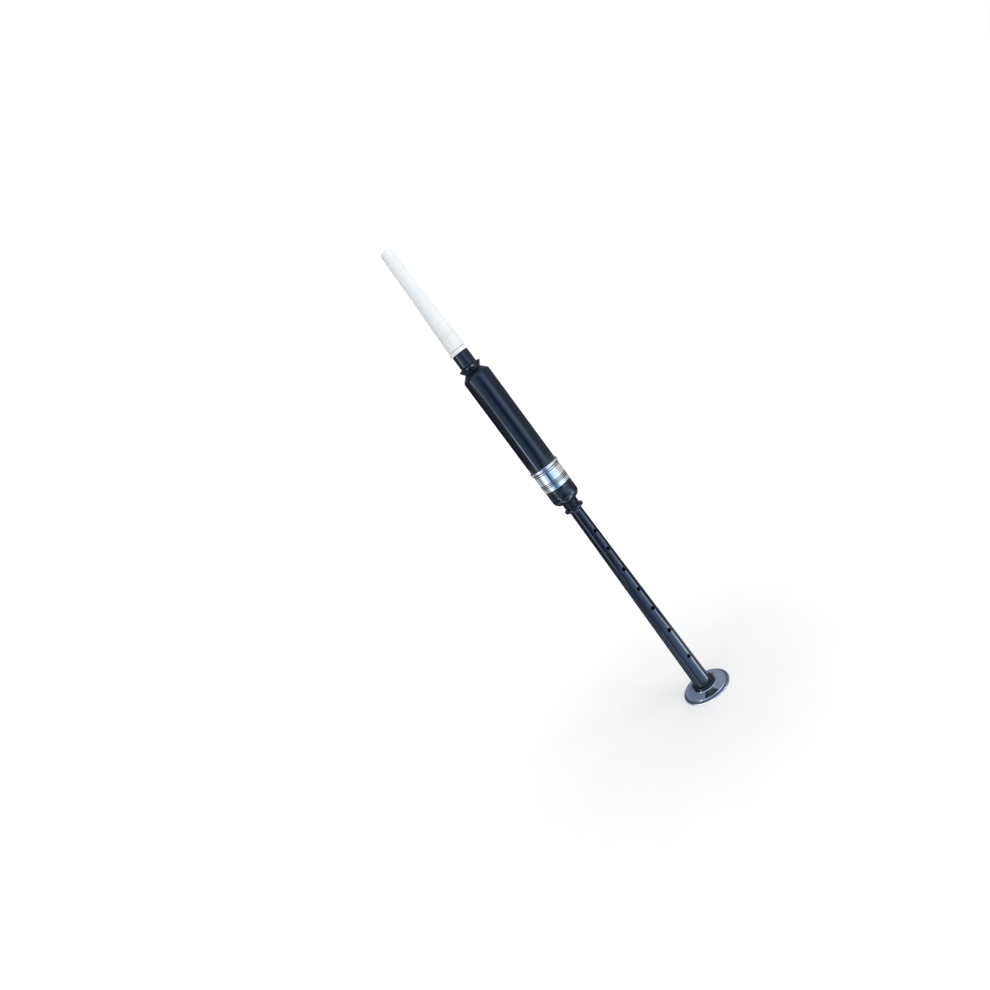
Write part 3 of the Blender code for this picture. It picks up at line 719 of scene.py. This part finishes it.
def white_plastic(name, tint):
    """Milky translucent plastic; the tenon and its thread show through faintly as warm rings."""
    f = Finish(
        name, tint, 0.4, Subsurface_Weight=0.3, Subsurface_Scale=0.003, Subsurface_Radius=(1.0, 1.0, 1.0),
        Specular_IOR_Level=0.3,
    )
    _, height = f.axes()
    cloud = f.noise(0.05, 4, (1, 1, 0.4))
    rings = None
    for centre, fade in WARM_RINGS:
        near = f.near(height, centre, 0, fade)
        rings = near if rings is None else f.math("MAXIMUM", rings, near)
    clouded = tuple(c * s for c, s in zip(tint, (0.95, 0.97, 0.99)))
    body = f.blend(f.spread(cloud, 0.35, 0.7, 0, 1), tint, clouded)
    f.drive("Base Color", f.blend(f.math("MULTIPLY", rings, 0.65), body, (0.58, 0.55, 0.43)))
    f.drive("Roughness", f.spread(f.noise(0.2, 3), 0.3, 0.7, 0.34, 0.46))
    f.drive("Normal", f.bump(f.noise(0.06, 2), 0.01, 0.5))
    return f.material


def thread(name, light, dark, roughness):
    """Twisted thread: a fine slanting ply over a fibre fuzz."""
    f = Finish(name, light, roughness, Sheen_Weight=0.25)
    ply = f.noise(2.6, 2, (1, 1, 0.7))
    fuzz = f.noise(9.0, 2)
    f.drive("Base Color", f.blend(f.spread(ply, 0.3, 0.7, 0, 1), dark, light))
    f.drive("Normal", f.bump(fuzz, 0.03, 0.6, f.bump(ply, 0.06, 0.7)))
    return f.material


def yellow_plastic():
    f = Finish("yellow_plastic", (0.86, 0.55, 0.09), 0.3, Subsurface_Weight=0.2, Subsurface_Scale=0.001)
    tone = f.spread(f.noise(0.5, 3), 0.35, 0.7, 0, 1)
    f.drive("Base Color", f.blend(tone, (0.88, 0.58, 0.1), (0.76, 0.43, 0.05)))
    f.drive("Normal", f.bump(f.noise(1.5, 2), 0.01, 0.6))
    return f.material


def brass():
    f = Finish("brass", (0.8, 0.6, 0.28), 0.22, Metallic=1.0)
    f.drive("Roughness", f.spread(f.noise(1.2, 4), 0.3, 0.75, 0.16, 0.4))
    tone = f.spread(f.noise(0.6, 4), 0.35, 0.75, 0, 1)
    f.drive("Base Color", f.blend(tone, (0.82, 0.63, 0.3), (0.6, 0.4, 0.18)))
    f.drive("Normal", f.bump(f.turning_lines(6.0), 0.002, 1.0))
    return f.material


def blade_plastic():
    """Frosted sheet plastic with a faint grain along the reed."""
    f = Finish("blade_plastic", (0.82, 0.87, 0.9), 0.38, Subsurface_Weight=0.3, Subsurface_Scale=0.001)
    grain = f.noise(3.0, 3, (1, 1, 0.04))
    f.drive("Base Color", f.blend(f.spread(grain, 0.3, 0.7, 0, 1), (0.76, 0.82, 0.86), (0.86, 0.9, 0.92)))
    f.drive("Normal", f.bump(grain, 0.01, 0.6))
    return f.material


# ---- Assembly ------------------------------------------------------------------------------------


def dress(piece, material, body, node):
    """Gives a piece its material and the body it rides on, and hides the CAD node it stands for."""
    piece.data.materials.append(material)
    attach(piece, body)
    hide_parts(node)


def build_pieces():
    black = black_plastic()
    hemp = thread("waxed_hemp", (0.66, 0.5, 0.27), (0.4, 0.28, 0.13), 0.75)
    red = thread("red_thread", (0.56, 0.03, 0.05), (0.32, 0.01, 0.02), 0.55)
    pink = thread("bridle_thread", (0.66, 0.13, 0.12), (0.45, 0.05, 0.05), 0.55)
    blades = blade_plastic()
    dress(lower_section(), black, "lower_section", "lower_section")
    dress(sole(), nickel("milled_nickel", milled=MILLED_BAND), "lower_section", "sole")
    dress(tenon_hemp(), hemp, "lower_section", "tenon_hemp")
    dress(reed_staple(), brass(), "reed", "reed_staple")
    dress(reed_plug(), yellow_plastic(), "reed", "reed_plug")
    dress(reed_blade("blade_front", -1), blades, "reed", "reed_blade_front")
    dress(reed_blade("blade_back", 1), blades, "reed", "reed_blade_back")
    dress(reed_binding(), red, "reed", "reed_binding")
    dress(reed_bridle(), pink, "reed", "reed_bridle")
    dress(top_section(), black, "top_section", "top_section")
    dress(ferrule(), nickel("nickel", FERRULE_GROOVES), "top_section", "ferrule")
    dress(mouthpiece_hemp(), hemp, "top_section", "mouthpiece_hemp")
    milky = white_plastic("mouthpiece_plastic", (0.74, 0.765, 0.77))
    pale = white_plastic("bead_plastic", (0.76, 0.78, 0.79))
    dress(mouthpiece(), milky, "mouthpiece", "mouthpiece")
    dress(mouthpiece_ring(), pale, "mouthpiece", "mouthpiece_ring")


# ---- Camera, floor and light ---------------------------------------------------------------------

VIEW_AZIMUTH = -23.5  # degrees: how far round from -Y the camera stands
VIEW_PITCH = 8  # degrees down
VIEW_ROLL = 37.2  # degrees; the chanter leans to the upper left of the frame
VIEW_DISTANCE = 628.6  # from the camera to the point where its axis passes the bore
VIEW_OFFSET = 54.2  # the bore lies this far to the right of that point
VIEW_HEIGHT = 292.5  # of that point
LENS = 23.64  # focal length


def direction(azimuth, elevation):
    """A unit vector; azimuth counts from the camera's side of the chanter towards the camera's right."""
    a, e = math.radians(VIEW_AZIMUTH + azimuth), math.radians(elevation)
    return Vector((math.sin(a) * math.cos(e), -math.cos(a) * math.cos(e), math.sin(e)))


def make_camera():
    camera = bpy.data.objects.new("camera", bpy.data.cameras.new("camera"))
    bpy.context.scene.collection.objects.link(camera)
    camera.data.lens = LENS
    camera.data.clip_end = 100
    back = direction(0, VIEW_PITCH)
    across = direction(90, 0)
    target = Vector((0, 0, VIEW_HEIGHT)) - across * VIEW_OFFSET
    level = Matrix((across, back.cross(across), back)).transposed()
    turn = Matrix.Rotation(math.radians(-VIEW_ROLL), 3, "Z")
    camera.matrix_world = Matrix.Translation((target + back * VIEW_DISTANCE) * MM) @ (level @ turn).to_4x4()
    bpy.context.scene.camera = camera


FLOOR_RADIUS, FLOOR_COLUMNS = 12000, 96


def make_floor():
    """A wide pale disc that the sole stands on, glowing a little so that it fades into the white beyond."""
    angles = [2 * math.pi * i / FLOOR_COLUMNS for i in range(FLOOR_COLUMNS)]
    ring = [(FLOOR_RADIUS * math.cos(a), FLOOR_RADIUS * math.sin(a), 0) for a in angles]
    floor = mesh_object("floor", ring, [tuple(range(FLOOR_COLUMNS))])
    f = Finish("floor", (0.9, 0.9, 0.9), 0.9)
    tone = f.spread(f.noise(0.02, 3), 0.3, 0.7, 0, 1)
    f.drive("Base Color", f.blend(tone, (0.89, 0.89, 0.89), (0.91, 0.91, 0.91)))
    reach, _ = f.axes()
    f.shader.inputs["Emission Color"].default_value = (1, 1, 1, 1)
    f.drive("Emission Strength", f.spread(reach, 60, 500, 0.06, 0.3))
    floor.data.materials.append(f.material)
    floor.visible_glossy = False


# What polished surfaces see round the chanter, in rows from the highest elevation down. A row is stops of
# azimuth in degrees, counted from the camera towards its right, and colour, with levels over 1 for bright
# panels. The stops were typed in, after readings of the render's and the photo's colours.
HIGH_STUDIO = (
    (-180, (0.2, 0.2, 0.25)), (-150, (0.05, 0.06, 0.08)), (-120, (0.06, 0.08, 0.1)),
    (-105, (0.3, 0.4, 0.5)), (-84, (0.5, 0.6, 0.8)), (-78, (0.5, 0.65, 0.9)), (-77, (6, 7, 8)),
    (-71, (6, 7, 8)), (-70, (0.9, 1.2, 1.7)), (-40, (0.55, 0.9, 1.45)), (-20, (0.4, 0.7, 1.2)),
    (-4, (0.2, 0.38, 0.8)), (4, (0.25, 0.42, 0.85)), (20, (0.95, 1.4, 2.1)), (40, (0.7, 1.0, 1.6)),
    (60, (0.45, 0.65, 1.0)), (90, (0.5, 0.6, 0.8)), (110, (0.3, 0.38, 0.48)), (130, (0.12, 0.15, 0.2)),
    (180, (0.2, 0.2, 0.25)),
)
BARREL_STUDIO = (
    (-180, (0.02, 0.02, 0.04)), (-140, (0.03, 0.03, 0.06)), (-120, (0.07, 0.075, 0.14)),
    (-100, (0.19, 0.22, 0.31)), (-80, (0.22, 0.28, 0.38)), (-67, (0.3, 0.4, 0.6)), (-66, (10, 11, 13)),
    (-62, (10, 11, 13)), (-61, (0.9, 1.3, 2.0)), (-40, (0.55, 0.9, 1.5)), (-20, (0.3, 0.55, 1.1)),
    (-5, (0.04, 0.14, 0.42)), (5, (0.04, 0.15, 0.45)), (20, (0.58, 0.95, 1.6)), (32, (1.3, 1.8, 2.7)),
    (44, (1.4, 1.9, 2.8)), (52, (0.6, 0.8, 1.2)), (64, (0.38, 0.52, 0.8)), (80, (0.34, 0.42, 0.63)),
    (100, (0.26, 0.31, 0.47)), (120, (0.19, 0.24, 0.35)), (140, (0.15, 0.18, 0.27)),
    (160, (0.05, 0.06, 0.1)), (180, (0.02, 0.02, 0.04)),
)
DIMMED = 3.5  # the most that the barrel's bright panel reaches near the barrel's top
BARREL_TOP_STUDIO = tuple(
    (azimuth, tuple(min(level, DIMMED) for level in colour)) for azimuth, colour in BARREL_STUDIO
)
BAND_STUDIO = (
    (-180, (0.4, 0.45, 0.6)), (-140, (0.5, 0.56, 0.7)), (-126, (0.8, 0.9, 1.05)), (-115, (0.7, 0.8, 0.9)),
    (-113, (0.02, 0.03, 0.05)), (-105, (0.02, 0.03, 0.05)), (-103, (0.75, 0.8, 0.9)),
    (-96, (0.8, 0.85, 0.9)), (-94, (0.2, 0.22, 0.28)), (-91, (0.2, 0.22, 0.28)), (-89, (0.8, 0.9, 1.0)),
    (-78, (1.2, 1.35, 1.5)), (-68, (2.4, 2.5, 2.6)), (-58, (1.7, 1.9, 2.0)), (-44, (0.8, 1.1, 1.45)),
    (-32, (0.5, 0.8, 1.2)), (-26, (0.02, 0.07, 0.2)), (-12, (0.02, 0.07, 0.2)), (-9, (0.55, 0.75, 1.0)),
    (-3, (0.3, 0.45, 0.7)), (1, (0.3, 0.45, 0.7)), (5, (0.95, 1.35, 1.65)), (40, (1.15, 1.5, 1.72)),
    (60, (1.4, 1.58, 1.65)), (76, (0.95, 1.0, 1.05)), (100, (0.75, 0.8, 0.85)), (120, (0.8, 0.82, 0.92)),
    (140, (0.5, 0.53, 0.6)), (160, (0.4, 0.43, 0.5)), (180, (0.4, 0.45, 0.6)),
)
BULB_STUDIO = (
    (-180, (0.05, 0.06, 0.1)), (-140, (0.15, 0.2, 0.3)), (-120, (0.22, 0.32, 0.48)),
    (-100, (0.27, 0.38, 0.52)), (-80, (0.3, 0.48, 0.7)), (-67, (0.4, 0.6, 0.85)), (-66, (6, 7, 9)),
    (-62, (6, 7, 9)), (-61, (0.8, 1.2, 1.8)), (-40, (0.5, 0.85, 1.4)), (-20, (0.22, 0.45, 0.85)),
    (0, (0.2, 0.43, 0.8)), (12, (0.3, 0.6, 1.1)), (28, (1.7, 2.4, 3.5)), (54, (1.6, 2.2, 3.1)),
    (64, (0.8, 1.0, 1.5)), (80, (0.3, 0.38, 0.6)), (100, (0.2, 0.25, 0.38)), (120, (0.12, 0.15, 0.25)),
    (140, (0.1, 0.11, 0.16)), (180, (0.05, 0.06, 0.1)),
)
MIDDLE_STUDIO = (
    (-180, (0.02, 0.03, 0.06)), (-120, (0.06, 0.09, 0.17)), (-100, (0.09, 0.14, 0.27)),
    (-80, (0.2, 0.28, 0.46)), (-59, (0.3, 0.4, 0.6)), (-58, (5, 6, 7.5)), (-52, (5, 6, 7.5)),
    (-51, (0.6, 0.8, 1.1)), (-40, (0.35, 0.5, 0.8)), (-20, (0.06, 0.15, 0.34)), (0, (0.13, 0.25, 0.56)),
    (20, (0.41, 0.67, 1.2)), (40, (1.1, 1.55, 2.4)), (52, (1.6, 2.1, 3.1)), (56, (2.2, 2.8, 3.9)),
    (66, (2.2, 2.8, 3.9)), (70, (1.3, 1.8, 2.6)), (84, (0.6, 0.8, 1.2)), (100, (0.1, 0.15, 0.3)),
    (120, (0.03, 0.05, 0.1)), (140, (0.03, 0.04, 0.08)), (180, (0.02, 0.03, 0.06)),
)
LOW_STUDIO = (
    (-180, (0.05, 0.06, 0.08)), (-140, (0.12, 0.15, 0.2)), (-120, (0.3, 0.36, 0.5)),
    (-100, (0.5, 0.6, 0.85)), (-80, (0.35, 0.5, 0.75)), (-60, (0.35, 0.55, 0.9)), (-40, (0.3, 0.5, 0.95)),
    (-20, (0.4, 0.7, 1.35)), (0, (0.75, 1.25, 2.1)), (20, (1.05, 1.65, 2.7)), (40, (1.4, 2.05, 3.2)),
    (51, (1.5, 2.1, 3.2)), (53, (6, 7, 8.5)), (62, (6, 7, 8.5)), (64, (1.4, 2.0, 3.0)),
    (78, (0.35, 0.5, 1.0)), (100, (0.06, 0.1, 0.25)), (120, (0.2, 0.3, 0.48)), (140, (0.15, 0.2, 0.3)),
    (180, (0.05, 0.06, 0.08)),
)
LOWEST_STUDIO = (
    (-180, (0.08, 0.1, 0.13)), (-140, (0.12, 0.14, 0.18)), (-120, (0.27, 0.31, 0.43)),
    (-100, (0.74, 0.83, 1.15)), (-84, (0.5, 0.65, 1.0)), (-68, (0.7, 0.9, 1.4)), (-64, (1.9, 2.2, 3.2)),
    (-58, (1.9, 2.2, 3.2)), (-54, (0.6, 0.8, 1.4)), (-40, (0.36, 0.58, 1.1)), (-34, (0.4, 0.65, 1.2)),
    (-22, (0.79, 1.27, 2.1)), (0, (0.92, 1.54, 2.6)), (20, (1.1, 1.9, 3.0)), (40, (1.4, 2.2, 3.4)),
    (56, (1.8, 2.5, 3.6)), (60, (8, 9, 11)), (76, (8, 9, 11)), (80, (1.8, 2.3, 3.2)), (90, (0.5, 0.7, 1.1)),
    (100, (0.38, 0.57, 0.83)), (120, (0.5, 0.63, 0.85)), (140, (0.3, 0.36, 0.43)), (180, (0.08, 0.1, 0.13)),
)
RIM_STUDIO = (
    (-180, (0.2, 0.25, 0.35)), (-120, (0.4, 0.5, 0.65)), (-105, (1.9, 1.9, 2.0)), (-20, (1.9, 1.9, 2.0)),
    (5, (0.95, 1.1, 1.4)), (45, (0.6, 0.7, 0.95)), (110, (0.3, 0.36, 0.5)), (180, (0.2, 0.25, 0.35)),
)
FLOOR_STUDIO = (
    (-180, (0.08, 0.1, 0.14)), (-100, (0.2, 0.27, 0.4)), (-72, (0.3, 0.4, 0.6)), (-66, (3.5, 3.8, 4.6)),
    (-58, (3.5, 3.8, 4.6)), (-52, (0.35, 0.5, 0.8)), (-10, (0.25, 0.4, 0.75)), (14, (0.6, 0.9, 1.5)),
    (28, (4.2, 4.6, 5.4)), (52, (4.2, 4.6, 5.4)), (66, (0.6, 0.75, 1.05)), (110, (0.2, 0.25, 0.35)),
    (180, (0.08, 0.1, 0.14)),
)
# The rows from the floor up: the elevations over which each takes over from the one below, and its stops.
STUDIO = (
    (-90, -90, FLOOR_STUDIO), (-37, -34, RIM_STUDIO), (-31.2, -30.8, LOWEST_STUDIO), (-26, -23, LOW_STUDIO),
    (-21, -16.5, MIDDLE_STUDIO), (-12.9, -12.3, BULB_STUDIO), (-10.9, -10.7, BAND_STUDIO),
    (-8.5, -7.9, BARREL_STUDIO), (-6.5, -3, BARREL_TOP_STUDIO), (-0.3, 2, HIGH_STUDIO),
)
UPPER_FROM, UPPER_TO = 8, 24  # elevations over which the light from above takes over from the top row
UPPER_LEFT = (0.19, 0.24, 0.40)
UPPER_RIGHT = (0.33, 0.39, 0.55)
UPPER_NEAR = (0.75, 0.9, 1.3)  # over the camera
ZENITH_FROM, ZENITH_TO = 72, 82
ZENITH = (0.33, 0.38, 0.5)
WHITE = (1.0, 1.0, 1.0)
SHADE = (0.45, 0.46, 0.48)  # what matt surfaces see towards SHADE_AZIMUTH
SHADE_AZIMUTH = -115


def make_world():
    """White behind the object, light on matt surfaces from all sides, and the studio for polished ones."""
    world = bpy.data.worlds.new("studio")
    bpy.context.scene.world = world
    world.use_nodes = True
    world.cycles.sampling_method = "NONE"
    tree = world.node_tree
    tree.nodes.clear()

    def add(kind, inputs=None, **settings):
        return add_node(tree, kind, inputs, **settings)

    def arithmetic(operation, a, b):
        return add("ShaderNodeMath", {0: a, 1: b}, operation=operation).outputs[0]

    def facing(vector):
        """How far the ray points along the vector, from -1 to 1."""
        inputs = {0: ray, 1: tuple(vector)}
        return add("ShaderNodeVectorMath", inputs, operation="DOT_PRODUCT").outputs["Value"]

    def panels(stops):
        """Colour by azimuth, as emission strengths that may pass 1."""
        strongest = max(max(colour) for _, colour in stops)
        ramp = add("ShaderNodeValToRGB", {0: turn})
        elements = ramp.color_ramp.elements
        while len(elements) < len(stops):
            elements.new(0.5)
        for element, (azimuth, colour) in zip(elements, stops):
            element.position = (azimuth + 180) / 360
            element.color = (*(c / strongest for c in colour), 1)
        inputs = {0: ramp.outputs[0], 1: (strongest,) * 3}
        return add("ShaderNodeVectorMath", inputs, operation="MULTIPLY").outputs[0]

    def mixed(factor, first, second):
        return mix_node(tree, "VECTOR", factor, first, second)

    def rise(value, start, end):
        """0 up to start and 1 from end, with a smooth step between."""
        inputs = {"Value": value, "From Min": start, "From Max": end}
        return add("ShaderNodeMapRange", inputs, interpolation_type="SMOOTHSTEP").outputs["Result"]

    def climb(start, end):
        """rise() with the ray's elevation, in degrees."""
        return rise(height, math.sin(math.radians(start)), math.sin(math.radians(end)))

    ray = add("ShaderNodeTexCoord").outputs["Generated"]
    azimuth = arithmetic("ARCTAN2", facing(direction(90, 0)), facing(direction(0, 0)))
    turn = arithmetic("ADD", arithmetic("DIVIDE", azimuth, 2 * math.pi), 0.5)
    height = facing((0, 0, 1))
    above = mixed(rise(facing(direction(90, 0)), -0.35, 0.35), UPPER_LEFT, UPPER_RIGHT)
    above = mixed(rise(facing(direction(0, 0)), 0.1, 0.5), above, UPPER_NEAR)
    above = mixed(climb(ZENITH_FROM, ZENITH_TO), above, ZENITH)
    polished = panels(STUDIO[0][2])
    for start, end, row in STUDIO[1:]:
        polished = mixed(climb(start, end), polished, panels(row))
    polished = mixed(climb(UPPER_FROM, UPPER_TO), polished, above)
    matt = mixed(rise(facing(direction(SHADE_AZIMUTH, 0)), 0.2, 0.8), WHITE, SHADE)
    path = add("ShaderNodeLightPath")
    seen = mixed(path.outputs["Is Glossy Ray"], matt, polished)
    seen = mixed(path.outputs["Is Camera Ray"], seen, WHITE)
    background = add("ShaderNodeBackground", {"Color": seen})
    output = add("ShaderNodeOutputWorld")
    tree.links.new(background.outputs[0], output.inputs["Surface"])


KEY_AZIMUTH, KEY_ELEVATION = 50, 35
KEY_DISTANCE, KEY_SIZE = 1200, 700
KEY_WATTS = 3


def make_key_light():
    """A soft panel that lights matt surfaces only, aimed at the middle of the chanter."""
    lamp = bpy.data.lights.new("key_panel", "AREA")
    lamp.shape = "RECTANGLE"
    lamp.size = lamp.size_y = KEY_SIZE * MM
    lamp.energy = KEY_WATTS
    obj = bpy.data.objects.new("key_panel", lamp)
    middle = Vector((0, 0, VIEW_HEIGHT * MM))
    aim = direction(KEY_AZIMUTH, KEY_ELEVATION)
    obj.location = middle + aim * KEY_DISTANCE * MM
    obj.rotation_euler = (-aim).to_track_quat("-Z", "Y").to_euler()
    obj.visible_glossy = False
    obj.visible_camera = False
    bpy.context.scene.collection.objects.link(obj)


build_pieces()
make_camera()
make_floor()
make_world()
make_key_light()
bpy.context.scene.view_settings.view_transform = "Standard"
